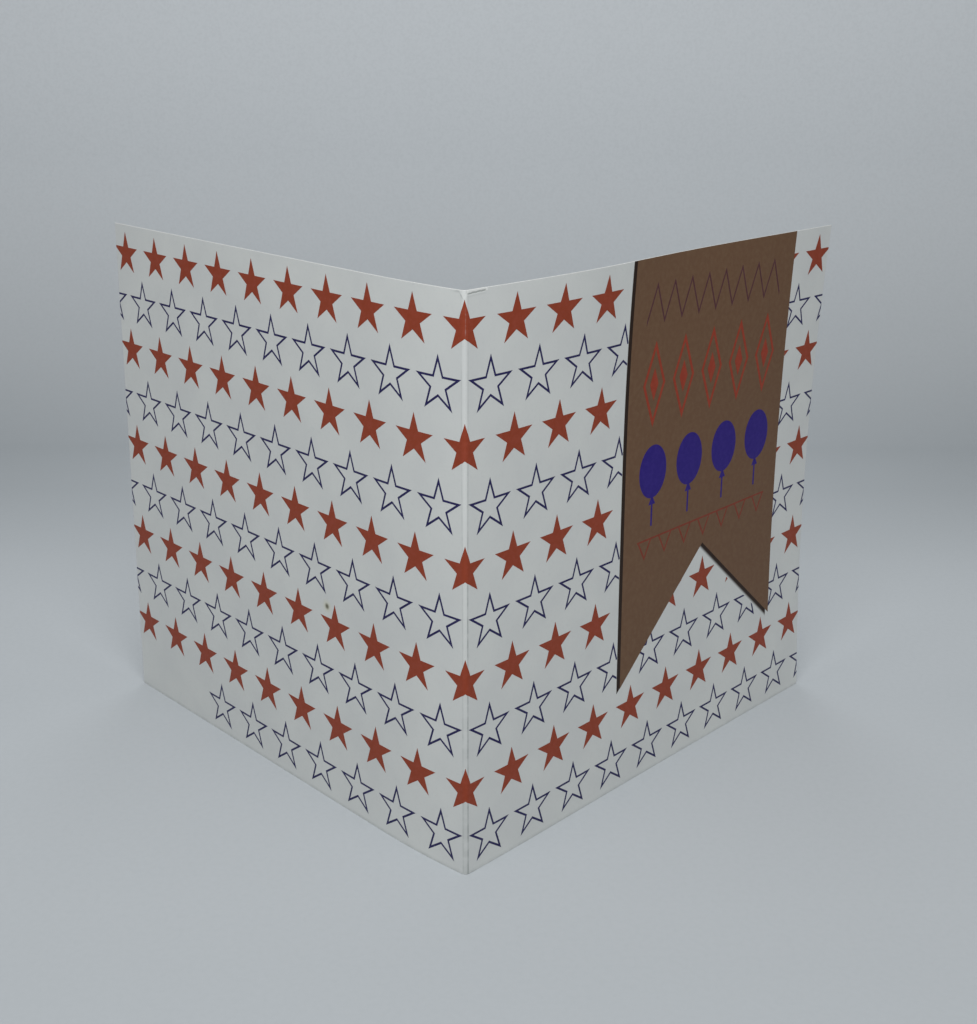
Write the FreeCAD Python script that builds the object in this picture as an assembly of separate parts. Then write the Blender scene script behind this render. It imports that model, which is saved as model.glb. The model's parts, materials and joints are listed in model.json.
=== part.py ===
import FreeCAD, Part
import math
import os

# A greeting card: one square sheet of coated board, scored and folded down the middle, standing open
# on its bottom edges with the printed side out. The print is modelled as thin films of ink that lie
# on the board. Lengths are in millimetres and angles in degrees.
# +Z is up, the fold points to -Y, and the panels run back to +Y on both sides of it.

# The sheet
panel_width = 135.0          # from the middle of the fold to a free edge, along the board
panel_height = 135.0
board_thickness = 0.35
opening_angle = 89.8         # between the insides of the two panels

# The scored fold: a shallow channel outside and a bead inside
score_width = 1.55
score_depth = 0.05
bead_height = 0.08

# The spot at the top of the fold where the outer ply has peeled away
peel_length = 5.2
peel_height = 1.3
peel_depth = 0.12

# Star rows, alternately filled and outlined; column 0 lies on the fold
ink_thickness = 0.05
last_column = 9              # outermost filled column on each panel
last_column_inset = 4.95     # from its middle to the free edge, so the edge trims its stars
row_count = 10
first_row_drop = 7.85        # from the top edge to the centres of the first row
last_row_rise = 7.7          # from the bottom edge to the centres of the last row
upper_rows = 3               # these rows stand a little higher than an even spacing gives
upper_rows_lift = 0.87
star_radius = 5.95
star_waist = 0.382           # inner corners as a share of the radius: arms with straight shoulders
outline_stroke = 0.5
bare_corner_column = -7      # the last outline row is bare to the left of this column

# The swallow-tailed banner on the front panel, with the shadow printed beside it
banner_width = 65.7
banner_margin = 15.8         # from its right edge to the free edge
banner_notch = 29.7
shadow_left = 1.4
shadow_down = 1.1

# Rows of ornaments on the banner, from the top edge down to the notch, each a gap below the last
ornament_margin = 5.3        # bare strip at both sides of every row

zigzag_gap = 6.2
zigzag_height = 9.0
zigzag_teeth = 8
zigzag_stroke = 0.45

lozenge_gap = 5.3
lozenge_height = 21.5
lozenge_width = 8.6
lozenge_count = 5
lozenge_stroke = 0.8
lozenge_heart = 0.38         # the filled middle as a share of the lozenge

balloon_gap = 4.7
balloon_count = 4
balloon_width = 10.6
balloon_height = 13.6
knot_width = 2.6
knot_height = 1.7
string_length = 5.6
string_width = 0.6

pennant_gap = 3.1
pennant_count = 7
pennant_width = 5.8
pennant_height = 5.4
pennant_stroke = 0.45

notch_gap = 2.0

# Worked out from the sizes above
half_angle = math.radians(opening_angle) / 2
half_score = score_width / 2
fold_turn = math.pi - 2 * half_angle
fold_radius = score_width / fold_turn
channel_radius = fold_radius - score_depth
flat_length = panel_width - half_score
column_pitch = (panel_width - last_column_inset) / last_column
row_pitch = (panel_height - first_row_drop - upper_rows_lift - last_row_rise) / (row_count - 1)
star_edge = star_radius * math.sin(math.pi / 10)
banner_right = panel_width - banner_margin
banner_left = banner_right - banner_width
banner_middle = (banner_left + banner_right) / 2
lozenge_drop = zigzag_gap + zigzag_height + lozenge_gap
balloon_drop = lozenge_drop + lozenge_height + balloon_gap
pennant_drop = balloon_drop + balloon_height + knot_height + string_length + pennant_gap
banner_length = pennant_drop + pennant_height + notch_gap + banner_notch
pennant_slant = math.hypot(pennant_width / 2, pennant_height)
pennant_inset = pennant_width * pennant_height / (pennant_width + 2 * pennant_slant)
up = FreeCAD.Vector(0, 0, 1)

# The fold's axis is set back so that the origin is under the middle of the standing card
front_reach = channel_radius + ink_thickness
back_reach = flat_length * math.cos(half_angle) - (fold_radius - board_thickness) * math.sin(half_angle)
fold_axis = FreeCAD.Vector(0, (front_reach - back_reach) / 2, 0)


def outward(side):
    """Outward normal of the panel on a side, +1 right and -1 left."""
    return FreeCAD.Vector(side * math.cos(half_angle), -math.sin(half_angle), 0)


def away(side):
    """Direction along the panel from the fold to its free edge."""
    return FreeCAD.Vector(side * math.sin(half_angle), math.cos(half_angle), 0)


def panel_point(side, run, radius):
    """A point in the section: run along the panel from the fold, radius out from the fold's axis."""
    return fold_axis + outward(side) * radius + away(side) * run


def fold_arc(radius, start_side):
    """The arc round the fold's axis from one panel to the other."""
    start = panel_point(start_side, 0, radius)
    middle = fold_axis + FreeCAD.Vector(0, -radius, 0)
    end = panel_point(-start_side, 0, radius)
    return Part.Arc(start, middle, end).toShape()


def line(start, end):
    return Part.LineSegment(start, end).toShape()


def half_section(side):
    """Edges of one panel: score shoulder, outer face, cut edge, inner face and bead shoulder."""
    inner_radius = fold_radius - board_thickness
    corners = [
        panel_point(side, 0, channel_radius),
        panel_point(side, 0, fold_radius),
        panel_point(side, flat_length, fold_radius),
        panel_point(side, flat_length, inner_radius),
        panel_point(side, 0, inner_radius),
        panel_point(side, 0, inner_radius - bead_height),
    ]
    return [line(a, b) for a, b in zip(corners, corners[1:])]


def folded_board():
    """The whole sheet: its section seen from above, raised to the panel's height."""
    bead_radius = fold_radius - board_thickness - bead_height
    edges = [fold_arc(channel_radius, -1)]
    edges += half_section(1)
    edges += [fold_arc(bead_radius, 1)]
    edges += half_section(-1)
    section = Part.Face(Part.Wire(Part.__sortEdges__(edges)))
    board = section.extrude(up * panel_height)
    return board.cut(peeled_spot())


def panel_placement(side):
    """Carries a flat drawing (x along the sheet from the fold, y up) on to a panel's outer face."""
    along = away(side) * side
    normal = outward(side)
    origin = panel_point(side, 0, fold_radius) - along * side * half_score
    matrix = FreeCAD.Matrix(
        along.x, up.x, normal.x, origin.x,
        along.y, up.y, normal.y, origin.y,
        along.z, up.z, normal.z, origin.z,
        0, 0, 0, 1,
    )
    return FreeCAD.Placement(matrix)


def laid_on(face, side, start, thickness):
    """A flat drawing laid on a panel and given thickness, from start above the board's face."""
    laid = face.copy()
    laid.Placement = panel_placement(side)
    laid.translate(outward(side) * start)
    return laid.extrude(outward(side) * thickness)


def peeled_spot():
    """The shallow wedge that is missing from the outer ply at the top of the fold."""
    spot = polygon([
        (half_score, panel_height),
        (half_score, panel_height - peel_height),
        (half_score + peel_length, panel_height),
    ])
    return laid_on(spot, 1, -peel_depth, 2 * peel_depth)


def polygon(points):
    """A flat face with straight sides, drawn in the sheet's own plane."""
    corners = [FreeCAD.Vector(x, y, 0) for x, y in points]
    return Part.Face(Part.makePolygon(corners + corners[:1]))


def rectangle(left, bottom, right, top):
    return polygon([(left, bottom), (right, bottom), (right, top), (left, top)])


def star(middle, height, radius, squeeze=1.0):
    """A five-pointed star, one point up; squeeze narrows it sideways."""
    points = []
    for corner in range(10):
        angle = math.pi / 2 + corner * math.pi / 5
        reach = radius if corner % 2 == 0 else radius * star_waist
        points.append((middle + squeeze * reach * math.cos(angle), height + reach * math.sin(angle)))
    return polygon(points)


def outline_star(middle, height):
    """The same star as a line: all its sides lie star_edge from the centre, half a stroke each way."""
    outer = star_radius * (star_edge + outline_stroke / 2) / star_edge
    inner = star_radius * (star_edge - outline_stroke / 2) / star_edge
    return star(middle, height, outer).cut(star(middle, height, inner))


def row_height(row):
    lift = upper_rows_lift if row < upper_rows else 0
    return panel_height - first_row_drop - upper_rows_lift - row * row_pitch + lift


def swallow_tail(shift_left=0.0, shift_down=0.0):
    """The banner's outline, hanging from the top edge, with a notch cut up into its foot."""
    tip = panel_height - banner_length - shift_down
    return polygon([
        (banner_left - shift_left, panel_height),
        (banner_left - shift_left, tip),
        (banner_middle - shift_left, tip + banner_notch),
        (banner_right - shift_left, tip),
        (banner_right - shift_left, panel_height),
    ])


def clipped(face, middle, reach):
    """What shows of a star beside the banner and its shadow, and inside the sheet's edges."""
    if middle + reach > banner_left - shadow_left and middle - reach < banner_right:
        face = face.cut(swallow_tail())
        face = face.cut(swallow_tail(shadow_left, shadow_down))
    if abs(middle) + reach > panel_width:
        face = face.common(rectangle(-panel_width, 0, panel_width, panel_height))
    return face.Faces


def panel_films(faces, start=0.0):
    """Ink films over flat drawings, each on the panel that its own middle lies on."""
    films = []
    for face in faces:
        side = 1 if face.CenterOfMass.x > 0 else -1
        films.append(laid_on(face, side, start, ink_thickness))
    return films


def channel_film(height):
    """The strip of a fold star that lies down in the score's channel."""
    ring = []
    for radius, start_side in ((channel_radius, -1), (channel_radius + ink_thickness, 1)):
        ring.append(fold_arc(radius, start_side))
    for side in (-1, 1):
        near = panel_point(side, 0, channel_radius)
        far = panel_point(side, 0, channel_radius + ink_thickness)
        ring.append(line(near, far))
    lining = Part.Face(Part.Wire(Part.__sortEdges__(ring))).extrude(up * panel_height)
    squeeze = channel_radius * math.sin(fold_turn / 2) / half_score
    cutter = star(0, height, star_radius, squeeze).extrude(up * 2 * fold_radius)
    cutter.rotate(FreeCAD.Vector(0, 0, 0), FreeCAD.Vector(1, 0, 0), 90)
    cutter.translate(FreeCAD.Vector(0, fold_axis.y, 0))
    return lining.common(cutter).Solids


def fold_star(height):
    """A star across the fold: its ink is broken along the two shoulders of the score."""
    whole = star(0, height, star_radius)
    sides = [
        rectangle(-panel_width, 0, -half_score, panel_height),
        rectangle(half_score, 0, panel_width, panel_height),
    ]
    faces = []
    for side in sides:
        faces += whole.common(side).Faces
    return panel_films(faces) + channel_film(height)


def red_stars():
    films = []
    for row in range(0, row_count, 2):
        height = row_height(row)
        films += fold_star(height)
        for column in range(1, last_column + 1):
            for middle in (-column * column_pitch, column * column_pitch):
                shown = clipped(star(middle, height, star_radius), middle, star_radius)
                films += panel_films(shown)
    return films


def blue_stars():
    films = []
    for row in range(1, row_count, 2):
        height = row_height(row)
        for step in range(-last_column - 1, last_column + 1):
            column = step + 0.5
            if row == row_count - 1 and column < bare_corner_column:
                continue
            middle = column * column_pitch
            reach = star_radius + 2 * outline_stroke
            films += panel_films(clipped(outline_star(middle, height), middle, reach))
    return films


def banner_shadow():
    return panel_films(swallow_tail(shadow_left, shadow_down).cut(swallow_tail()).Faces)


def spread(count, width):
    """Middles of a row of like ornaments, spread evenly between the banner's side margins."""
    first = banner_left + ornament_margin + width / 2
    step = (banner_width - 2 * ornament_margin - width) / (count - 1)
    return [first + index * step for index in range(count)]


def zigzag():
    """A thin line that runs down and up between two heights, with straight flanks."""
    left = banner_left + ornament_margin
    pitch = (banner_width - 2 * ornament_margin) / zigzag_teeth
    top = panel_height - zigzag_gap
    flank = math.atan2(zigzag_height, pitch / 2)
    rise = zigzag_stroke / math.cos(flank)
    line_top = []
    for corner in range(2 * zigzag_teeth + 1):
        low = zigzag_height if corner % 2 == 0 else 0
        line_top.append((left + corner * pitch / 2, top - low))
    line_foot = [(x, y - rise) for x, y in reversed(line_top)]
    return polygon(line_top + line_foot)


def lozenge(middle, height, wide, tall):
    return polygon([
        (middle, height + tall / 2),
        (middle - wide / 2, height),
        (middle, height - tall / 2),
        (middle + wide / 2, height),
    ])


def lozenges():
    """A row of tall lozenge outlines, each with a small filled one in its middle."""
    height = panel_height - lozenge_drop - lozenge_height / 2
    side_distance = lozenge_width * lozenge_height / 2 / math.hypot(lozenge_width, lozenge_height)
    hollow = 1 - lozenge_stroke / side_distance
    faces = []
    for middle in spread(lozenge_count, lozenge_width):
        outer = lozenge(middle, height, lozenge_width, lozenge_height)
        inner = lozenge(middle, height, lozenge_width * hollow, lozenge_height * hollow)
        faces += outer.cut(inner).Faces
        faces.append(lozenge(middle, height, lozenge_width * lozenge_heart, lozenge_height * lozenge_heart))
    return faces


def balloons():
    """A row of filled balloons, each an upright ellipse with its knot and a straight string."""
    faces = []
    for middle in spread(balloon_count, balloon_width):
        height = panel_height - balloon_drop - balloon_height / 2
        centre = FreeCAD.Vector(middle, height, 0)
        top = FreeCAD.Vector(middle, height + balloon_height / 2, 0)
        flank = FreeCAD.Vector(middle - balloon_width / 2, height, 0)
        body = Part.Face(Part.Wire(Part.Ellipse(top, flank, centre).toShape()))
        neck = height - balloon_height / 2
        knot = polygon([
            (middle, neck + knot_height / 2),
            (middle - knot_width / 2, neck - knot_height),
            (middle + knot_width / 2, neck - knot_height),
        ])
        half_string = string_width / 2
        foot = neck - knot_height - string_length
        string = rectangle(middle - half_string, foot, middle + half_string, neck - knot_height / 2)
        faces += body.fuse([knot, string]).removeSplitter().Faces
    return faces


def pennant(middle, top, scale=1.0):
    """A triangle that hangs point down, scaled about the centre of the circle inside it."""
    side_top = top - (1 - scale) * pennant_inset
    half_width = scale * pennant_width / 2
    return polygon([
        (middle - half_width, side_top),
        (middle, side_top - scale * pennant_height),
        (middle + half_width, side_top),
    ])


def pennants():
    """Outlined pennants on a straight string, all in one line weight."""
    top = panel_height - pennant_drop
    left = banner_left + ornament_margin
    row = rectangle(left, top - pennant_stroke, banner_right - ornament_margin, top)
    middles = spread(pennant_count, pennant_width)
    row = row.fuse([pennant(middle, top) for middle in middles]).removeSplitter()
    hollow = 1 - pennant_stroke / pennant_inset
    return row.cut([pennant(middle, top, hollow) for middle in middles]).Faces


def write(node, solids):
    shape = solids[0] if len(solids) == 1 else Part.Compound(solids)
    shape.exportStep("parts/" + node + ".step")
    print(node, len(solids), "solid(s), volume", round(shape.Volume, 2), "mm3")


os.makedirs("parts", exist_ok=True)
write("card", folded_board().Solids)
write("red_stars", red_stars())
write("blue_stars", blue_stars())
write("kraft_banner", panel_films([swallow_tail()]))
write("banner_shadow", banner_shadow())
write("plum_zigzag", panel_films([zigzag()], ink_thickness))
write("red_lozenges", panel_films(lozenges(), ink_thickness))
write("blue_balloons", panel_films(balloons(), ink_thickness))
write("red_pennants", panel_films(pennants(), ink_thickness))
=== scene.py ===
import json
import math
import bmesh
import bpy
import numpy as np
from mathutils import Matrix, Vector


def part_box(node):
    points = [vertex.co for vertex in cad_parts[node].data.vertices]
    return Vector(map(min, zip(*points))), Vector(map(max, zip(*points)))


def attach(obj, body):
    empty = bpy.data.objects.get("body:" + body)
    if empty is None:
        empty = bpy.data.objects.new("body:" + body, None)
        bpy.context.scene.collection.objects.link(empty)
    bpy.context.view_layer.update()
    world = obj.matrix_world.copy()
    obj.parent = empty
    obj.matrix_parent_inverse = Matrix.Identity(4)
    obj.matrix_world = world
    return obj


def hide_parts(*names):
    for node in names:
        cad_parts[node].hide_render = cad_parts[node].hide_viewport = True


# A folded greeting card, printed side out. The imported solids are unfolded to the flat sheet, cut finer,
# and folded again to the softer bends that a real sheet takes. Lengths are in millimetres until a mesh
# is made; +Z is up and the fold points to -Y.

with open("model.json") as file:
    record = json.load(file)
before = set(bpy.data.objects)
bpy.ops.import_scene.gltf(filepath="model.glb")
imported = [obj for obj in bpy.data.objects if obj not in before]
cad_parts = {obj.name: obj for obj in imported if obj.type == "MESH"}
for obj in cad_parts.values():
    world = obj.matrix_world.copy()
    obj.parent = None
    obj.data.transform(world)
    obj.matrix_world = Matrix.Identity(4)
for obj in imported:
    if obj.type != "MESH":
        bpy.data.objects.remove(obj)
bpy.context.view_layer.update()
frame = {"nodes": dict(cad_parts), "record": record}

mm = 0.001
sharpEdge = math.radians(30)     # edges steeper than this stay sharp

# The sheet as the solids have it: heights and reach come from the frame's box
sheet = {
    "openingAngle": 89.8,
    "scoreWidth": 1.55,
    "scoreDepth": 0.05,
    "boardThickness": 0.35,
    "beadHeight": 0.08,
    "beadTop": 0.6,              # it falls away between these shares of half the score's width
    "beadFoot": 1.2,
    "dipShare": 0.5,             # how much of the score's depth is left under the printed coat
    "shoulder": 0.3,             # width over which the coat turns down into it
}
halfAngle = math.radians(sheet["openingAngle"]) / 2
halfScore = sheet["scoreWidth"] / 2
foldRadius = sheet["scoreWidth"] / (math.pi - 2 * halfAngle)
cardLow, cardHigh = [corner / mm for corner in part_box("card")]
panelHeight = cardHigh.z
axisY = cardLow.y + foldRadius - sheet["scoreDepth"]
panelWidth = halfScore + (cardHigh.x - foldRadius * math.cos(halfAngle)) / math.sin(halfAngle)

# How the real sheet stands: each panel leaves the fold at its own angle, eases over bendLength, and the
# right one is a little hollow. Angles in degrees, measured from straight back; distances in mm.
stance = {
    "panelAngle": 44.34,
    "leftSpring": 7.44,          # extra opening right at the fold
    "rightSpring": 1.35,
    "bendLength": 26.0,
    "bendSteps": 5400,           # steps in which a panel's bend is summed
    "foldReach": 1.0,            # half the width of the fold itself, which runs a little past the score
    "rightCurve": 0.0085,        # degrees gained for every mm beyond the bend
    "rightTopOut": 1.46,         # the top of the right free edge stands out
    "rightHollow": -2.49,        # and its middle is drawn in
    "hollowStart": -4.5,
    "curlOut": 1.88,             # the right panel's top edge also curls out beside the fold
    "curlMiddle": 38.7,
    "curlReach": 26.9,
    "curlEase": 12.0,            # and fades to nothing over this distance at the fold itself
    "curlFrom": 85.8,            # height at which the curl starts
    "shiftX": -0.5,              # the fold's foot stands this far from the solids'
    "shiftY": -0.5,
}


def bendProfile(spring, curve):
    # Heading falls from square across the fold to the panel's angle, by a quarter of a sine wave, and
    # then eases off; its sine and cosine are summed
    distance = np.linspace(0, panelWidth, stance["bendSteps"] + 1)
    angle = math.radians(stance["panelAngle"])
    spring, curve = math.radians(spring), math.radians(curve)
    turned = np.sin(math.pi / 2 * distance / stance["foldReach"])
    onFold = math.pi / 2 + (angle + spring - math.pi / 2) * turned
    beyond = distance - stance["foldReach"]
    easing = spring * np.clip(1 - beyond / stance["bendLength"], 0, 1)
    bowing = curve * np.clip(beyond - stance["bendLength"], 0, None)
    heading = np.where(beyond < 0, onFold, angle + easing + bowing)
    step = distance[1]
    acrossSum = np.concatenate([[0], np.cumsum(np.sin(heading[1:]) + np.sin(heading[:-1]))]) * step / 2
    backSum = np.concatenate([[0], np.cumsum(np.cos(heading[1:]) + np.cos(heading[:-1]))]) * step / 2
    return distance, acrossSum, backSum, heading


bends = {
    -1: bendProfile(stance["leftSpring"], 0),
    1: bendProfile(stance["rightSpring"], stance["rightCurve"]),
}


def unfold(points):
    # Solid to flat sheet: run from the fold's middle, height, and height above the outer face
    x, y, z = points[:, 0], points[:, 1] - axisY, points[:, 2]
    side = np.where(x < 0, -1.0, 1.0)
    along = np.abs(x) * math.sin(halfAngle) + y * math.cos(halfAngle)
    outward = np.abs(x) * math.cos(halfAngle) - y * math.sin(halfAngle)
    aroundFold = np.arctan2(x, -y) * foldRadius
    run = np.where(along > 0, side * (halfScore + along), aroundFold)
    lift = np.where(along > 0, outward, np.hypot(x, y)) - foldRadius
    return np.stack([run, z, lift], 1)


def smoothStep(value, low, high):
    # 0 below low, 1 above high, with a soft S between
    share = np.clip((value - low) / (high - low), 0, 1)
    return share * share * (3 - 2 * share)


def rightWarp(run, height):
    # How far the right panel stands out: the free edge's lean and hollow grow with the run squared,
    # and the curl is a bell along the run that grows with the height squared
    level = (height - stance["hollowStart"]) / panelHeight
    hollow = stance["rightTopOut"] * level + stance["rightHollow"] * 4 * level * (1 - level)
    curlShare = np.clip((height - stance["curlFrom"]) / (panelHeight - stance["curlFrom"]), 0, 1) ** 2
    bell = np.exp(-((run - stance["curlMiddle"]) / stance["curlReach"]) ** 2)
    bell = bell * smoothStep(run, 0, stance["curlEase"])
    return np.where(run < 0, 0.0, hollow * (run / panelWidth) ** 2 + stance["curlOut"] * curlShare * bell)


def refold(run, height, lift):
    # Flat sheet to the standing card, in metres: place on the bend, plus warp and lift along its normal
    distance = np.abs(run)
    side = np.where(run < 0, -1.0, 1.0)
    left, right = [[np.interp(distance, bends[s][0], bends[s][i]) for i in (1, 2, 3)] for s in (-1, 1)]
    across, back, heading = np.where(run < 0, left, right)
    warp = rightWarp(run, height)
    angle = math.radians(stance["panelAngle"])
    x = side * (across + warp * math.cos(angle) + lift * np.cos(heading)) + stance["shiftX"]
    y = back - warp * math.sin(angle) - lift * np.sin(heading) + axisY - foldRadius + stance["shiftY"]
    return np.stack([x, y, height], 1) * mm


def scoreDip(run):
    # The outer face sinks into the score's channel over a soft shoulder at each side
    start, end = halfScore - sheet["shoulder"], halfScore + sheet["shoulder"] / 2
    return -sheet["scoreDepth"] * sheet["dipShare"] * (1 - smoothStep(np.abs(run), start, end))


def srgb(code):
    # A hex colour as it looks on screen, turned to linear light
    values = [int(code[i:i + 2], 16) / 255 for i in (1, 3, 5)]
    linear = [v / 12.92 if v <= 0.04045 else ((v + 0.055) / 1.055) ** 2.4 for v in values]
    return (*linear, 1.0)


def addNode(tree, kind, settings={}, links={}):
    # Adds a node, sets its properties and sockets, and links sockets to other nodes' outputs
    node = tree.nodes.new(kind)
    for key, value in settings.items():
        if isinstance(key, int) or key in node.inputs:
            node.inputs[key].default_value = value
        else:
            setattr(node, key, value)
    for key, output in links.items():
        tree.links.new(output, node.inputs[key])
    return node


def newMaterial(name, roughness, specular):
    # A material with a bare principled shader; returns it with its tree and shader
    material = bpy.data.materials.new(name)
    material.use_nodes = True
    tree = material.node_tree
    shader = tree.nodes["Principled BSDF"]
    shader.inputs["Roughness"].default_value = roughness
    shader.inputs["Specular IOR Level"].default_value = specular
    shader.inputs["IOR"].default_value = 1.5
    return material, tree, shader


def blendColour(tree, factor, under, over):
    # The colour of under, turned to over where factor is 1; each is a hex colour or a node's output
    settings, links = {"data_type": "RGBA"}, {0: factor}
    for socket, colour in ((6, under), (7, over)):
        if isinstance(colour, str):
            settings[socket] = srgb(colour)
        else:
            links[socket] = colour
    return addNode(tree, "ShaderNodeMix", settings, links).outputs[2]


def makePiece(name, vertices, faces, materials):
    # A mesh object at the origin from arrays, smooth but for its sharp edges
    mesh = bpy.data.meshes.new(name)
    mesh.from_pydata(vertices.tolist(), [], faces.tolist())
    for material in materials:
        mesh.materials.append(material)
    mesh.polygons.foreach_set("use_smooth", np.ones(len(mesh.polygons), bool))
    mesh.set_sharp_from_angle(angle=sharpEdge)
    piece = bpy.data.objects.new(name, mesh)
    bpy.context.scene.collection.objects.link(piece)
    return piece


def addSheetMap(mesh, flat):
    # UV map "sheet": run and height on the flat sheet, in metres, for patterns that follow the board
    corners = np.empty(len(mesh.loops), np.int32)
    mesh.loops.foreach_get("vertex_index", corners)
    layer = mesh.uv_layers.new(name="sheet")
    layer.uv.foreach_set("vector", (flat[corners, :2] * mm).astype(np.float32).ravel())


def addMask(mesh, name, values):
    # A value from 0 to 1 at every vertex, for a material to read by name
    mask = mesh.attributes.new(name, "FLOAT", "POINT")
    mask.data.foreach_set("value", np.clip(values, 0, 1).astype(np.float32))


def finishPiece(piece, slotName, *nodes):
    # Rides on the one body and stands for its solids
    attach(piece, "root")
    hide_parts(*nodes)


# Where the sheet is worn, and where shade is painted along the score, the sheet's foot and the V: measured
# along and up the flat sheet, in mm
wear = {
    "creaseWidth": 0.13,         # half the width of the thin painted shade line along each shoulder of the score
    "creaseNarrows": 0.2,        # share by which the two lines draw together low down
    "creaseNarrowsOver": (60, 125),
    "creaseFades": 0.65,         # share of the right line's strength lost between two heights
    "creaseFadesOver": (40, 125),
    "leftCrease": 0.3,           # strength of the left line
    "scoreFootDark": 0.32,                # how much darker the score's foot is, gone between two heights
    "scoreFootDarkOver": (5, 85),
    "footFull": 0.05,            # a painted shade line along the sheet's foot, where it stands on the table, is full up to here
    "footLine": 0.35,            # and gone here
    "footShade": 0.5,
    "peelStart": 0.35,           # the outer ply has come away along the top edge, right of the fold
    "peelBefore": 0.1,           # and starts to fade in this far before
    "peelEnd": 6.2,
    "peelHeight": 0.82,
    "peelTaper": 0.37,           # share of that height lost at the strip's far end
    "peelDepth": 0.1,
    "peelRagged": 0.05,          # how far its lower edge wanders
    "gapDepth": 0.07,            # the gap under the peeled strip
    "gapWidth": 0.14,
    "peelSoft": 0.25,            # length over which the strip's ends fade, and the gap's and lip's
    "gapSoft": 0.8,
    "peelBorder": 0.08,          # height over which the strip's lower edge fades
    "lipHeight": 0.04,           # the coat stands up a little below the gap
    "lipBelow": 0.32,
    "lipWidth": 0.2,
    "splitWidth": 1.4,           # the coating has split in a V at the top of the fold
    "splitHeight": 2.2,
    "splitLeft": 0.1,            # the V's middle lies this far left of the fold's
    "splitRagged": 0.12,
    "splitSoft": 0.4,            # width over which its sides fade
    "splitDepth": 0.02,
    "splitFibre": 0.45,          # share of white fibre that shows in it
    "splitShadeLine": 0.16,           # half the width of the painted shade line down its left side
    "splitShade": 0.5,
    "crackPlace": 0.2,           # a thin crack in the ink of the top star, just right of the fold
    "crackWidth": 0.09,
    "crackFrom": 124.5,
    "crackTo": 132.0,
    "crackEase": 2.0,            # length over which each end fades
}


def waver(position, seed, size):
    # A smooth seeded wobble: the sum of three sines, the longest of them size long
    phases = np.random.default_rng(seed).uniform(0, 2 * math.pi, 3)
    lengths = size * np.array([1.0, 0.43, 0.19])
    shares = np.array([0.55, 0.3, 0.15])
    return sum(s * np.sin(2 * math.pi * position / l + p) for s, l, p in zip(shares, lengths, phases))


def peelEdge(run):
    # Height of the peeled strip's lower edge: a shallow ragged line below the top edge
    share = (run - wear["peelStart"]) / (wear["peelEnd"] - wear["peelStart"])
    depth = wear["peelHeight"] * (1 - wear["peelTaper"] * share)
    return panelHeight - depth + wear["peelRagged"] * waver(run, 4, 1.7)


def alongPeel(run, ease):
    # 1 along the peeled strip, with soft ends
    start, end = wear["peelStart"], wear["peelEnd"]
    fadeIn = smoothStep(run, start - wear["peelBefore"], start + ease)
    return fadeIn * (1 - smoothStep(run, end - ease, end))


def peelMask(run, height):
    # 1 where the outer ply is missing, falling to 0 at the strip's ragged border
    return alongPeel(run, wear["peelSoft"]) * smoothStep(height - peelEdge(run), 0, wear["peelBorder"])


def gapMask(run, height):
    # 1 along the gap just under the strip: a bell across it
    return alongPeel(run, wear["gapSoft"]) * np.exp(-((height - peelEdge(run)) / wear["gapWidth"]) ** 2)


def splitOpening(height):
    # Half the V's width at a height
    return wear["splitWidth"] * (height - panelHeight + wear["splitHeight"]) / wear["splitHeight"]


def splitMask(run, height):
    # 1 inside the V where the coating has split and white fibres show
    inward = splitOpening(height) - np.abs(run + wear["splitLeft"])
    return smoothStep(inward + wear["splitRagged"] * waver(height, 9, 0.9), 0, wear["splitSoft"])


def creaseShadeMask(run, height):
    # Painted shade: 1 along the two shoulders of the score, stronger low down, the left one faint, with
    # the score's foot darker, a line along the sheet's foot and a soft line down the V's left side
    lowDown = 1 - wear["creaseFades"] * smoothStep(height, *wear["creaseFadesOver"])
    apart = smoothStep(height, *wear["creaseNarrowsOver"])
    shoulder = halfScore * (1 - wear["creaseNarrows"] * (1 - apart))
    right = np.exp(-((run - shoulder) / wear["creaseWidth"]) ** 2) * lowDown
    left = np.exp(-((run + shoulder) / wear["creaseWidth"]) ** 2) * wear["leftCrease"]
    # painted shade along the sheet's foot, where it stands on the table
    footShadow = 1 - smoothStep(height, wear["footFull"], wear["footLine"])
    opening = splitOpening(height)
    # painted shade down the V's left side
    splitShadeLine = np.exp(-((run + wear["splitLeft"] + opening) / wear["splitShadeLine"]) ** 2)
    splitShadeLine = splitShadeLine * smoothStep(opening, 0, wear["splitSoft"])
    scoreFootDark = np.exp(-(run / halfScore) ** 4) * (1 - smoothStep(height, *wear["scoreFootDarkOver"]))
    shade = wear["scoreFootDark"] * scoreFootDark + wear["footShade"] * footShadow + wear["splitShade"] * splitShadeLine
    return right + left + shade


def crackMask(run, height):
    # 1 along the thin crack in the top star's ink
    start, end, ease = wear["crackFrom"], wear["crackTo"], wear["crackEase"]
    alongCrack = smoothStep(height, start, start + ease) * (1 - smoothStep(height, end - ease, end))
    return alongCrack * np.exp(-((run - wear["crackPlace"]) / wear["crackWidth"]) ** 2)


# The card's own mesh: a grid over the flat sheet, finer where it bends or is worn, outside and inside
grid = {
    "cell": 2.5,
    "scoreReach": 1.3,           # fine cells run this far to each side of the fold's middle
    "scoreCell": 0.055,
    "tornReach": 6.7,            # and fairly fine ones over the worn top edge
    "tornHeight": 2.4,
    "tornCell": 0.11,
    "edgeRadius": 0.07,          # the guillotine leaves the edges very slightly rolled
    "edgeShare": 0.6,            # how much of that quarter circle each face takes
    "edgeSteps": (0.0, 0.012, 0.035, 0.07, 0.2),
    "rim": 1.0,                  # the plain cells start this far in from an edge
    "topRim": 0.3,               # the torn edge's cells end this far below it
}


def stations(low, high, cell):
    # Even places from low to high, about a cell apart
    return np.linspace(low, high, max(2, round((high - low) / cell) + 1))


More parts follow.
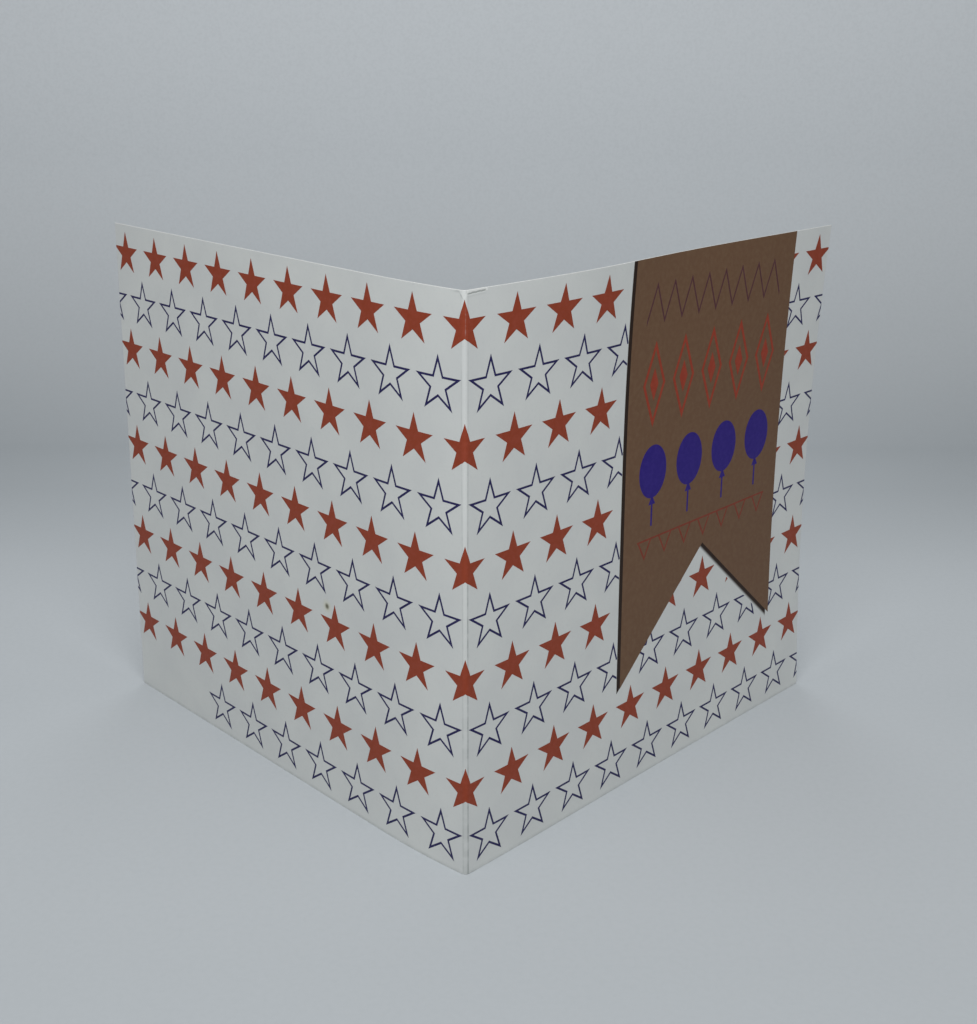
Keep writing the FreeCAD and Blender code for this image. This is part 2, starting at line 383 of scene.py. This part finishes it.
def sheetStations():
    # Grid lines along the sheet and up it
    edge = np.array(grid["edgeSteps"])
    runs = np.concatenate([
        edge - panelWidth,
        stations(grid["rim"] - panelWidth, -grid["scoreReach"], grid["cell"]),
        stations(-grid["scoreReach"], grid["scoreReach"], grid["scoreCell"]),
        stations(grid["scoreReach"], grid["tornReach"], grid["tornCell"]),
        stations(grid["tornReach"], panelWidth - grid["rim"], grid["cell"]),
        panelWidth - edge,
    ])
    heights = np.concatenate([
        edge,
        stations(grid["rim"], panelHeight - grid["tornHeight"], grid["cell"]),
        stations(panelHeight - grid["tornHeight"], panelHeight - grid["topRim"], grid["tornCell"]),
        panelHeight - edge,
    ])
    return np.unique(runs.round(5)), np.unique(heights.round(5))


def edgeRoll(toEdge):
    # Quarter circle that drops the face by edgeRadius at the very edge
    radius = grid["edgeRadius"]
    inside = np.clip(radius - toEdge, 0, radius)
    return radius - np.sqrt(radius ** 2 - inside ** 2)


def outerLift(run, height):
    # Height of the printed face above the plain sheet
    toEdge = np.minimum(np.minimum(height, panelHeight - height), panelWidth - np.abs(run))
    lift = scoreDip(run) - grid["edgeShare"] * edgeRoll(toEdge)
    lift = lift - wear["peelDepth"] * peelMask(run, height) - wear["gapDepth"] * gapMask(run, height)
    belowLip = (height - peelEdge(run) + wear["lipBelow"]) / wear["lipWidth"]
    lip = np.exp(-belowLip ** 2) * alongPeel(run, wear["gapSoft"])
    return lift + wear["lipHeight"] * lip - wear["splitDepth"] * splitMask(run, height)


def innerLift(run, height):
    # The bare face, one board's thickness down, with the score's bead: a soft ridge as wide as the score
    toEdge = np.minimum(np.minimum(height, panelHeight - height), panelWidth - np.abs(run))
    flank = smoothStep(np.abs(run), halfScore * sheet["beadTop"], halfScore * sheet["beadFoot"])
    bead = sheet["beadHeight"] * (1 - flank)
    return -sheet["boardThickness"] - bead + grid["edgeShare"] * edgeRoll(toEdge)


def gridFaces(rows, columns, start, outside):
    # Quads between neighbouring grid points, wound to face out or in
    low = start + np.arange(rows - 1)[:, None] * columns + np.arange(columns - 1)[None, :]
    quads = np.stack([low, low + 1, low + columns + 1, low + columns], -1).reshape(-1, 4)
    return quads if outside else quads[:, ::-1]


def borderFaces(rows, columns):
    # Quads round the cut edge, from the outer face's border to the inner face's
    ring = np.concatenate([
        np.arange(columns - 1),
        np.arange(rows - 1) * columns + columns - 1,
        (rows - 1) * columns + np.arange(columns - 1, 0, -1),
        np.arange(rows - 1, 0, -1) * columns,
    ])
    following = np.roll(ring, -1)
    total = rows * columns
    return np.stack([ring, ring + total, following + total, following], -1)


def makeCard(materials):
    # Both faces of the sheet on one grid, joined round the cut edge and folded
    runs, heights = sheetStations()
    height, run = [part.ravel() for part in np.meshgrid(heights, runs, indexing="ij")]
    flatOut = np.stack([run, height, outerLift(run, height)], 1)
    flatIn = np.stack([run, height, innerLift(run, height)], 1)
    flat = np.concatenate([flatOut, flatIn])
    rows, columns = len(heights), len(runs)
    outside = gridFaces(rows, columns, 0, True)
    inside = gridFaces(rows, columns, rows * columns, False)
    border = borderFaces(rows, columns)
    faces = np.concatenate([outside, inside, border])
    card = makePiece("folded_card", refold(*flat.T), faces, materials)
    slots = np.concatenate([np.zeros(len(outside)), np.ones(len(inside)), np.full(len(border), 2)])
    card.data.polygons.foreach_set("material_index", slots.astype(np.int32))
    addSheetMap(card.data, flat)
    onOutside = np.concatenate([np.ones(len(run)), np.zeros(len(run))])
    run, height = flat[:, 0], flat[:, 1]
    fibre = np.maximum(peelMask(run, height), wear["splitFibre"] * splitMask(run, height))
    addMask(card.data, "fibre", fibre * onOutside)
    # painted shadow in the gap under the peeled strip
    addMask(card.data, "gap", gapMask(run, height) * onOutside)
    # painted shade along the score, its foot, the sheet's foot and the V's left side
    addMask(card.data, "creaseShade", creaseShadeMask(run, height) * onOutside)
    return card


# The ink films: thinner than the solids, which are drawn thick enough to be closed
ink = {
    "share": 0.3,                # film thickness as a share of the solid's
    "clearance": 0.004,          # its underside stands this far above the board, clear of it
    "cell": 3.0,
    "scoreCell": 0.1,
    "grainSize": 1.2,            # unevenness of the printed solid
    "bump": 0.004,
    "specular": 0.15,
    "apart": 1.0,                # films in the score's channel are held this much lower while being cut
    "seam": 0.004,               # share by which they end short of those beside it, a hair's gap
    "slack": 0.02,               # error allowed in a solid's place when they are told apart, in mm
}


def holdChannelApart(mesh, flat):
    # The films in the channel touch those beside it at the shoulders; lowered, they don't weld to them
    corners = np.empty(len(mesh.loops), np.int32)
    mesh.loops.foreach_get("vertex_index", corners)
    triangles = corners.reshape(-1, 3)
    run, lift = np.abs(flat[triangles, 0]), flat[triangles, 2]
    inside = (lift.min(1) < -ink["slack"]) | (run.min(1) < halfScore - ink["slack"])
    channel = triangles[inside & (run.max(1) < halfScore + ink["slack"])]
    flat[np.unique(channel), 2] -= ink["apart"]


def cutFiner(bm):
    # Cuts every face along grid lines on the flat sheet, so that it can bend, fine over the score
    extent = np.array([vertex.co[:2] for vertex in bm.verts])
    low, high = extent.min(0), extent.max(0)
    alongRun = np.concatenate([
        np.arange(-panelWidth, -grid["scoreReach"], ink["cell"]),
        stations(-grid["scoreReach"], grid["scoreReach"], ink["scoreCell"]),
        np.arange(grid["scoreReach"] + ink["cell"], panelWidth, ink["cell"]),
    ])
    alongHeight = np.arange(ink["cell"], panelHeight, ink["cell"])
    for axis, lines in ((0, alongRun), (1, alongHeight)):
        normal = Vector((1, 0, 0)) if axis == 0 else Vector((0, 1, 0))
        for place in lines[(lines > low[axis]) & (lines < high[axis])]:
            everything = bm.verts[:] + bm.edges[:] + bm.faces[:]
            point = normal * place
            bmesh.ops.bisect_plane(bm, geom=everything, dist=1e-5, plane_co=point, plane_no=normal)


def readPoints(mesh):
    # A mesh's vertices as an array
    points = np.empty(len(mesh.vertices) * 3)
    mesh.vertices.foreach_get("co", points)
    return points.reshape(-1, 3)


def makeFilm(node, name, material, slotName, fade=None):
    # A copy of the node's solids: unfolded, merged, cut finer, thinned and folded on to the sheet. Those
    # in the channel come back up to the others. fade gives each point a share, for the finish to read
    mesh = frame["nodes"][node].data.copy()
    mesh.name = name
    # The solids' stored normals don't fit the new faces, which take their own
    mesh.attributes.remove(mesh.attributes["custom_normal"])
    flat = unfold(readPoints(mesh) / mm)
    holdChannelApart(mesh, flat)
    mesh.vertices.foreach_set("co", flat.ravel())
    bm = bmesh.new()
    bm.from_mesh(mesh)
    bmesh.ops.remove_doubles(bm, verts=bm.verts[:], dist=1e-4)
    cutFiner(bm)
    # Triangles of even shape, before the bend, so that a long face can't give slivers
    bmesh.ops.triangulate(bm, faces=bm.faces[:])
    bm.to_mesh(mesh)
    bm.free()
    flat = readPoints(mesh)
    run, height, lift = flat.T
    inChannel = lift < -ink["apart"] / 2
    above = lift - np.where(inChannel, -ink["apart"] - sheet["scoreDepth"], 0.0)
    run = np.where(inChannel, run * (1 - ink["seam"]), run)
    flat = np.stack([run, height, scoreDip(run) + ink["clearance"] + ink["share"] * above], 1)
    mesh.vertices.foreach_set("co", refold(*flat.T).ravel())
    mesh.materials.clear()
    mesh.materials.append(material)
    mesh.polygons.foreach_set("use_smooth", np.ones(len(mesh.polygons), bool))
    mesh.polygons.foreach_set("material_index", np.zeros(len(mesh.polygons), np.int32))
    mesh.set_sharp_from_angle(angle=sharpEdge)
    addSheetMap(mesh, flat)
    addMask(mesh, "crack", crackMask(run, height))
    if fade:
        addMask(mesh, "fade", fade(run, height))
    film = bpy.data.objects.new(name, mesh)
    bpy.context.scene.collection.objects.link(film)
    finishPiece(film, slotName, node)
    print(name, len(mesh.polygons), "faces")


# Finishes. Sizes are in mm and become the pattern's scale; colours are as seen in plain light.
board = {
    "white": "#CDD0CE",
    "mottle": "#C8CBCA",
    "mottleSize": 14.0,
    "fibreSize": 0.7,
    "fibreShade": "#C0C4C3",
    # painted shade along the score's shoulders and the sheet's foot, and the darker foot of the score
    "creaseShade": "#8F9594",
    "creaseGrainSize": 2.5,
    # painted shadow in the gap under the peeled strip
    "gap": "#6E7371",
    "torn": "#DBDDDB",
    "smudge": "#BFBD9C",
    "smudgePlace": (-46.3, 51.9),
    "smudgeReach": 2.2,
    "smudgeShare": 0.6,          # how strongly it covers the white, and the speck in its middle
    "speck": "#45442F",
    "speckReach": 1.05,
    "speckCore": 0.2,
    "speckShare": 0.85,
    "roughness": 0.42,
    "specular": 0.4,
    "bump": 0.006,
    "bare": "#CFD0CD",           # the inside
    "bareMottle": "#CACCC9",
    "bareMottleSize": 16.0,
    "bareGrain": "#C2C3BF",
    "bareGrainSize": 1.1,
    "bareRoughness": 0.75,
    "bareSpecular": 0.3,
    "bareBump": 0.015,
    "cut": "#D2D3D0",            # the cut edge
    "cutShade": "#BDBEBA",
    "plySize": 0.25,
    "cutRoughness": 0.85,
}


def finishBoard():
    # Clay-coated white board, calendered smooth: satin, with faint clouds and fibres under the coat
    material, tree, shader = newMaterial("clay_coated_board", board["roughness"], board["specular"])
    place = addNode(tree, "ShaderNodeTexCoord").outputs["Object"]
    clouds = addNode(tree, "ShaderNodeTexNoise", {"Scale": 1000 / board["mottleSize"], "Detail": 3.0},
                     {"Vector": place}).outputs["Fac"]
    fibres = addNode(tree, "ShaderNodeTexNoise", {"Scale": 1000 / board["fibreSize"], "Detail": 4.0},
                     {"Vector": place}).outputs["Fac"]
    cloudShare = addNode(tree, "ShaderNodeMapRange", {"From Min": 0.35, "From Max": 0.65},
                         {"Value": clouds})
    fibreShare = addNode(tree, "ShaderNodeMapRange", {"From Min": 0.55, "From Max": 0.85, "To Max": 0.5},
                         {"Value": fibres})
    colour = blendColour(tree, cloudShare.outputs[0], board["white"], board["mottle"])
    colour = blendColour(tree, fibreShare.outputs[0], colour, board["fibreShade"])
    # The smudge: a soft round stain on the flat sheet
    flat = addNode(tree, "ShaderNodeUVMap", {"uv_map": "sheet"}).outputs[0]
    stainPlace = (board["smudgePlace"][0] * mm, board["smudgePlace"][1] * mm, 0)
    away = addNode(tree, "ShaderNodeVectorMath", {"operation": "DISTANCE", 1: stainPlace}, {0: flat})
    stain = addNode(tree, "ShaderNodeMapRange",
                    {"interpolation_type": "SMOOTHSTEP", "From Min": board["smudgeReach"] * mm,
                     "From Max": 0.0, "To Max": board["smudgeShare"]}, {"Value": away.outputs["Value"]})
    colour = blendColour(tree, stain.outputs[0], colour, board["smudge"])
    # The speck of dirt in its middle
    speck = addNode(tree, "ShaderNodeMapRange",
                    {"interpolation_type": "SMOOTHSTEP", "From Min": board["speckReach"] * mm,
                     "From Max": board["speckCore"] * mm, "To Max": board["speckShare"]},
                    {"Value": away.outputs["Value"]})
    colour = blendColour(tree, speck.outputs[0], colour, board["speck"])
    # Painted shade: lines along the score, broken up by a grain of their own; then wear, the split and
    # peeled places, and the painted shadow in the gap under the strip
    creaseShade = addNode(tree, "ShaderNodeAttribute", {"attribute_name": "creaseShade"}).outputs["Fac"]
    broken = addNode(tree, "ShaderNodeTexNoise", {"Scale": 1000 / board["creaseGrainSize"], "Detail": 2.0},
                     {"Vector": place})
    brokenShare = addNode(tree, "ShaderNodeMapRange", {"From Min": 0.3, "From Max": 0.6, "To Min": 0.35},
                          {"Value": broken.outputs["Fac"]})
    line = addNode(tree, "ShaderNodeMath", {"operation": "MULTIPLY"},
                   {0: creaseShade, 1: brokenShare.outputs[0]})
    colour = blendColour(tree, line.outputs[0], colour, board["creaseShade"])
    fibre = addNode(tree, "ShaderNodeAttribute", {"attribute_name": "fibre"}).outputs["Fac"]
    colour = blendColour(tree, fibre, colour, board["torn"])
    # the painted shadow in the gap under the peeled strip, over its real shallow recess
    gap = addNode(tree, "ShaderNodeAttribute", {"attribute_name": "gap"}).outputs["Fac"]
    colour = blendColour(tree, gap, colour, board["gap"])
    tree.links.new(colour, shader.inputs["Base Color"])
    bump = addNode(tree, "ShaderNodeBump", {"Distance": board["bump"] * mm, "Strength": 0.6},
                   {"Height": fibres})
    tree.links.new(bump.outputs[0], shader.inputs["Normal"])
    return material


def finishBareSide():
    # The same board's uncoated back: matt, a touch warmer, with a coarser felt-side grain
    material, tree, shader = newMaterial("uncoated_board_back", board["bareRoughness"],
                                         board["bareSpecular"])
    place = addNode(tree, "ShaderNodeTexCoord").outputs["Object"]
    grain = addNode(tree, "ShaderNodeTexNoise", {"Scale": 1000 / board["bareGrainSize"], "Detail": 5.0},
                    {"Vector": place})
    clouds = addNode(tree, "ShaderNodeTexNoise", {"Scale": 1000 / board["bareMottleSize"], "Detail": 2.0},
                     {"Vector": place})
    cloudShare = addNode(tree, "ShaderNodeMapRange", {"From Min": 0.35, "From Max": 0.65},
                         {"Value": clouds.outputs["Fac"]})
    grainShare = addNode(tree, "ShaderNodeMapRange", {"From Min": 0.5, "From Max": 0.8, "To Max": 0.6},
                         {"Value": grain.outputs["Fac"]})
    colour = blendColour(tree, cloudShare.outputs[0], board["bare"], board["bareMottle"])
    colour = blendColour(tree, grainShare.outputs[0], colour, board["bareGrain"])
    tree.links.new(colour, shader.inputs["Base Color"])
    bump = addNode(tree, "ShaderNodeBump", {"Distance": board["bareBump"] * mm, "Strength": 0.7},
                   {"Height": grain.outputs["Fac"]})
    tree.links.new(bump.outputs[0], shader.inputs["Normal"])
    return material


def finishCutEdge():
    # The guillotined edge: plies of pressed fibre in fine layers, rough and a little greyer
    material, tree, shader = newMaterial("guillotined_board_edge", board["cutRoughness"],
                                         board["bareSpecular"])
    place = addNode(tree, "ShaderNodeTexCoord").outputs["Object"]
    plies = addNode(tree, "ShaderNodeTexNoise", {"Scale": 1000 / board["plySize"], "Detail": 3.0},
                    {"Vector": place})
    share = addNode(tree, "ShaderNodeMapRange", {"From Min": 0.35, "From Max": 0.7},
                    {"Value": plies.outputs["Fac"]})
    colour = blendColour(tree, share.outputs[0], board["cut"], board["cutShade"])
    tree.links.new(colour, shader.inputs["Base Color"])
    return material


def finishInk(name, colour, thin, roughness):
    # Offset ink on coated board: nearly matt, as it sinks into the coat, with the slight unevenness of
    # a printed solid; thin is the colour where it lies thinner, and its crack shows the board
    material, tree, shader = newMaterial(name, roughness, ink["specular"])
    place = addNode(tree, "ShaderNodeTexCoord").outputs["Object"]
    grain = addNode(tree, "ShaderNodeTexNoise", {"Scale": 1000 / ink["grainSize"], "Detail": 4.0},
                    {"Vector": place})
    share = addNode(tree, "ShaderNodeMapRange", {"From Min": 0.4, "From Max": 0.75},
                    {"Value": grain.outputs["Fac"]})
    mixed = blendColour(tree, share.outputs[0], colour, thin)
    crack = addNode(tree, "ShaderNodeAttribute", {"attribute_name": "crack"}).outputs["Fac"]
    broken = addNode(tree, "ShaderNodeMapRange", {"From Min": 0.35, "From Max": 0.6, "To Max": 0.25},
                     {"Value": grain.outputs["Fac"]})
    line = addNode(tree, "ShaderNodeMath", {"operation": "MULTIPLY"}, {0: crack, 1: broken.outputs[0]})
    mixed = blendColour(tree, line.outputs[0], mixed, board["white"])
    tree.links.new(mixed, shader.inputs["Base Color"])
    bump = addNode(tree, "ShaderNodeBump", {"Distance": ink["bump"] * mm, "Strength": 0.5},
                   {"Height": grain.outputs["Fac"]})
    tree.links.new(bump.outputs[0], shader.inputs["Normal"])
    return material


shadow = {
    "colour": "#281A12",
    "roughness": 0.45,
    "fullAt": 0.14,              # share of the way in from its border at which it is full
    "notchShare": 0.25,          # in the banner's notch the way in counts only this much
}


def finishShadowInk():
    # Screened dark brown that fades to the bare board at its outer border
    material, tree, shader = newMaterial("screened_shadow_ink", shadow["roughness"], ink["specular"])
    fade = addNode(tree, "ShaderNodeAttribute", {"attribute_name": "fade"}).outputs["Fac"]
    share = addNode(tree, "ShaderNodeMapRange",
                    {"interpolation_type": "SMOOTHSTEP", "From Min": 0.0, "From Max": shadow["fullAt"]},
                    {"Value": fade})
    colour = blendColour(tree, share.outputs[0], board["white"], shadow["colour"])
    tree.links.new(colour, shader.inputs["Base Color"])
    return material


print("finishes")
inkFinishes = {
    # node: (piece, finish, colour, colour where thin, roughness)
    "red_stars": ("red_star_print", "brick_red_offset_ink", "#8A3C26", "#904230", 0.4),
    "blue_stars": ("blue_star_outlines", "navy_line_ink", "#262450", "#2E2C5A", 0.4),
    "kraft_banner": ("banner_print", "kraft_brown_offset_ink", "#684E3A", "#6E5540", 0.45),
    "plum_zigzag": ("zigzag_print", "plum_line_ink", "#4E2C33", "#55333A", 0.4),
    "red_lozenges": ("lozenge_print", "red_over_brown_ink", "#8E3725", "#95402D", 0.4),
    "blue_balloons": ("balloon_print", "deep_blue_offset_ink", "#281872", "#302079", 0.4),
    "red_pennants": ("pennant_print", "thin_red_line_ink", "#7A3325", "#813C2D", 0.4),
}

card = makeCard([finishBoard(), finishBareSide(), finishCutEdge()])
finishPiece(card, "coated_board", "card")
print("card", len(card.data.polygons), "faces")

slotOf = {part["node"]: part["material_slot"] for part in frame["record"]["subparts"]}
for node, (piece, finish, colour, thin, roughness) in inkFinishes.items():
    makeFilm(node, piece, finishInk(finish, colour, thin, roughness), slotOf[node])


def shadowFade(run, height):
    # 0 at the shadow's outer border, 1 at the banner: across beside its left edge, and level in its
    # notch, where it rises more softly
    banner = unfold(readPoints(frame["nodes"]["kraft_banner"].data) / mm)
    outline = unfold(readPoints(frame["nodes"]["banner_shadow"].data) / mm)
    left, tip = banner[:, 0].min(), banner[:, 1].min()
    right = banner[:, 0].max()
    middle = (left + right) / 2
    apex = banner[np.abs(banner[:, 0] - middle).argmin(), 1]
    slope = (right - middle) / (apex - tip)
    reachLeft, reachDown = left - outline[:, 0].min(), tip - outline[:, 1].min()
    beside = 1 - (left - run) / reachLeft
    flank = middle + (apex - height) * slope
    inNotch = 1 - (flank - run) / (reachLeft + reachDown * slope)
    return np.where(run < (left + middle) / 2, beside, shadow["notchShare"] * inNotch)


makeFilm("banner_shadow", "banner_shadow_print", finishShadowInk(), slotOf["banner_shadow"], shadowFade)

# The table and the backdrop behind it, one seamless pale sweep, in metres. Light and shade are painted on
# its paper: darker along the bend, and paler behind the card and up the wall.
sweep = {
    "pale": "#D8DDE1",
    "dark": "#9DA3A7",
    "front": -0.9,
    "bendAt": 0.28,
    "bendRadius": 0.12,
    "top": 1.3,
    "halfWidth": 1.4,
    "step": 0.02,
    # painted light and shade: shares from dark to pale along the floor and up the wall
    "floorPlaces": (-0.4, -0.094, -0.054, -0.002, 0.043, 0.07, 0.1, 0.134, 0.174, 0.22, 0.276),
    "floorLightShares": (0.5, 0.26, 0.33, 0.345, 0.35, 0.41, 0.42, 0.39, 0.28, 0.19, 0.18),
    "wallHeights": (0.0, 0.028, 0.07, 0.112, 0.15, 0.192),
    "wallLightShares": (0.2, 0.4, 0.6, 0.8, 0.89, 0.95),
    "grainSize": 1.5,
    "roughness": 0.9,
    "specular": 0.2,
}


def makeSweep():
    # Flat from the front, a quarter circle, then straight up: one profile carried sideways. The painted
    # light and shade, from dark to pale, runs in straight steps along the floor and up the wall.
    turn = np.linspace(0, math.pi / 2, 25)
    radius = sweep["bendRadius"]
    floorPart = np.arange(sweep["front"], sweep["bendAt"], sweep["step"])
    wallPart = np.arange(radius + sweep["step"], sweep["top"], sweep["step"])
    back = np.concatenate([floorPart, sweep["bendAt"] + radius * np.sin(turn),
                           np.full(len(wallPart), sweep["bendAt"] + radius)])
    rise = np.concatenate([np.zeros(len(floorPart)), radius * (1 - np.cos(turn)), wallPart])
    # painted light and shade: darker at the bend, paler behind the card and up the wall
    floorLight = np.interp(back, sweep["floorPlaces"], sweep["floorLightShares"])
    paintedLight = np.where(rise > 0, np.interp(rise, sweep["wallHeights"], sweep["wallLightShares"]), floorLight)
    sides = np.array([-sweep["halfWidth"], sweep["halfWidth"]])
    across = np.repeat(sides[None, :], len(back), 0).ravel()
    points = np.stack([across, np.repeat(back, 2), np.repeat(rise, 2)], 1)
    material, tree, shader = newMaterial("matt_backdrop_paper", sweep["roughness"], sweep["specular"])
    place = addNode(tree, "ShaderNodeTexCoord").outputs["Object"]
    grain = addNode(tree, "ShaderNodeTexNoise", {"Scale": 1000 / sweep["grainSize"], "Detail": 3.0},
                    {"Vector": place})
    share = addNode(tree, "ShaderNodeMapRange", {"From Min": 0.4, "From Max": 0.8, "To Max": 0.12},
                    {"Value": grain.outputs["Fac"]})
    paintedLightShare = addNode(tree, "ShaderNodeAttribute", {"attribute_name": "paintedLight"}).outputs["Fac"]
    colour = blendColour(tree, paintedLightShare, sweep["dark"], sweep["pale"])
    colour = blendColour(tree, share.outputs[0], colour, sweep["dark"])
    tree.links.new(colour, shader.inputs["Base Color"])
    backdrop = makePiece("backdrop_sweep", points, gridFaces(len(back), 2, 0, True), [material])
    addMask(backdrop.data, "paintedLight", np.repeat(paintedLight, 2))


makeSweep()
print("backdrop")

# Soft studio light: a large panel above and in front, a faint one low behind, and even room light
lights = {
    "key": {"place": (-0.01, -0.33, 0.52), "aim": (0, 0, 0.06), "size": 0.5, "power": 3.0},
    "back": {"place": (0.0, 0.3, 0.2), "aim": (0, 0, 0.08), "size": 0.2, "power": 0.17},
}
roomLight = 0.36


def aimed(place, target):
    # A turn and a move: -Z looks from place to target, with Y as near up as it can be
    turn = (Vector(target) - Vector(place)).to_track_quat("-Z", "Y")
    return Matrix.Translation(place) @ turn.to_matrix().to_4x4()


for name, setting in lights.items():
    lamp = bpy.data.lights.new(name + "_panel", "AREA")
    lamp.shape = "SQUARE"
    lamp.size = setting["size"]
    lamp.energy = setting["power"]
    holder = bpy.data.objects.new(name + "_panel", lamp)
    holder.matrix_world = aimed(setting["place"], setting["aim"])
    holder.visible_camera = False
    bpy.context.scene.collection.objects.link(holder)

world = bpy.data.worlds.new("room")
world.use_nodes = True
world.node_tree.nodes["Background"].inputs["Color"].default_value = (1, 1, 1, 1)
world.node_tree.nodes["Background"].inputs["Strength"].default_value = roomLight
bpy.context.scene.world = world
print("lights")

# The photograph's viewpoint, measured from the foot of the fold, in mm and degrees
viewpoint = {
    "right": 5.29,
    "front": 282.41,
    "above": 189.24,
    "downTilt": 14.495,
    "turnRight": -0.075,
    "roll": 0.135,
    "lens": 49.61,
    "shiftDown": 0.129,
    "sensor": 36,
}


def makeCamera():
    # Forward, right and up from the three angles; the roll turns right and up about forward
    tilt, turn, roll = [math.radians(viewpoint[key]) for key in ("downTilt", "turnRight", "roll")]
    forward = Vector((math.sin(turn) * math.cos(tilt), math.cos(turn) * math.cos(tilt), -math.sin(tilt)))
    right = Vector((math.cos(turn), -math.sin(turn), 0))
    up = right.cross(forward)
    rolledRight = right * math.cos(roll) + up * math.sin(roll)
    rolledUp = up * math.cos(roll) - right * math.sin(roll)
    place = Vector((
        viewpoint["right"] + stance["shiftX"],
        axisY - foldRadius + stance["shiftY"] - viewpoint["front"],
        viewpoint["above"],
    )) * mm
    lens = bpy.data.cameras.new("photo_view")
    lens.lens = viewpoint["lens"]
    lens.sensor_width = viewpoint["sensor"]
    lens.shift_y = -viewpoint["shiftDown"]
    lens.clip_start = 0.01
    camera = bpy.data.objects.new("photo_view", lens)
    turned = Matrix((rolledRight, rolledUp, -forward)).transposed()
    camera.matrix_world = Matrix.Translation(place) @ turned.to_4x4()
    bpy.context.scene.collection.objects.link(camera)
    bpy.context.scene.camera = camera


makeCamera()
bpy.context.scene.view_settings.view_transform = "Standard"
print("camera")
